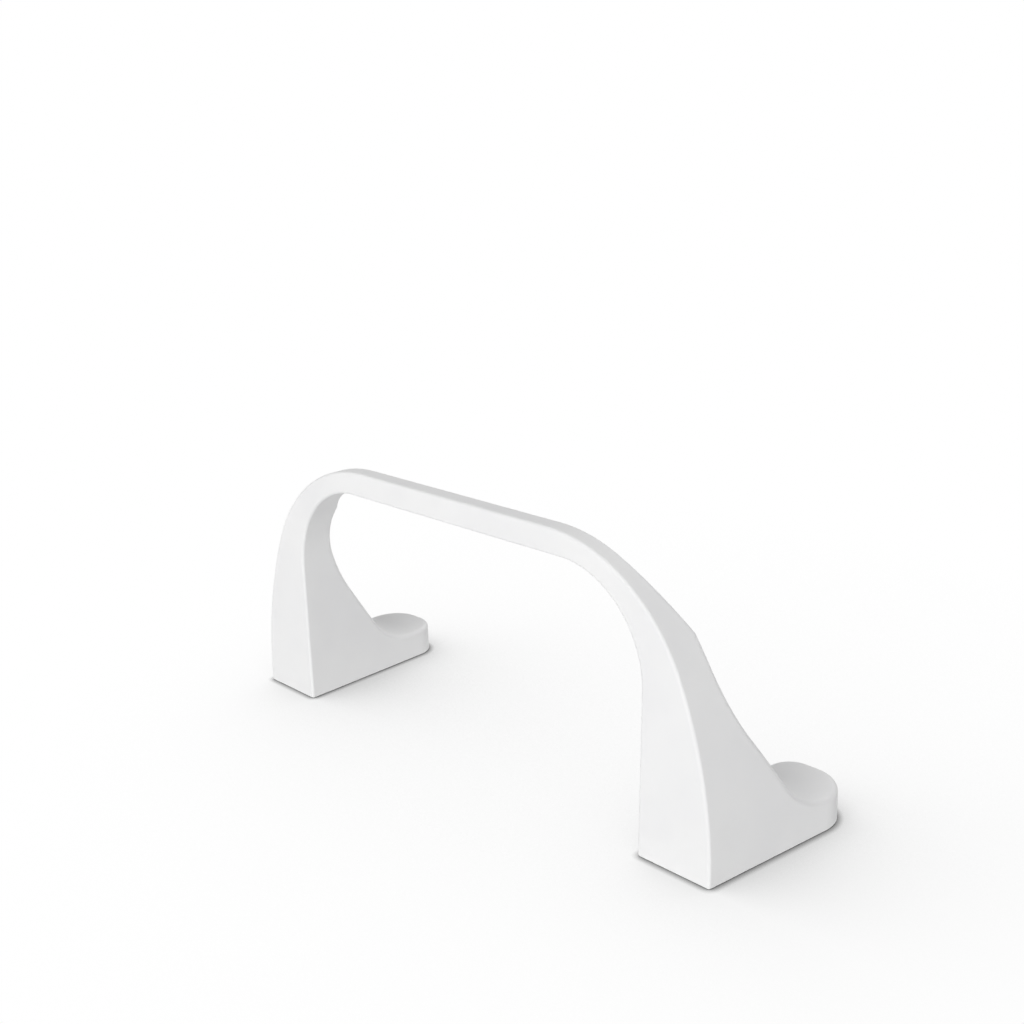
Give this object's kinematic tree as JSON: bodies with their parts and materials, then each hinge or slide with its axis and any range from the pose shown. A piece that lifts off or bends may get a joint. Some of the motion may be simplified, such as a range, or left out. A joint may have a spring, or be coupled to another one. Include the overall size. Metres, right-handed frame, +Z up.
{
  "type": "game controller stand",
  "caption": "Low one-piece arch stand whose two splayed feet sweep forward into hollow seats that hold up the grips of a game controller.",
  "frame": {"origin": "on the table surface, at the middle of the stand's width and of its depth", "axes": "+X across the stand, from leg to leg; -Y is the front, where the toes point, and +Y faces away from the flat back; +Z up"},
  "size_m": [0.121, 0.0352, 0.0505],
  "materials": {
    "body": "fine matte white, moulded"
  },
  "bodies": {
    "root": {"stand": "body"}
  },
  "joints": []
}
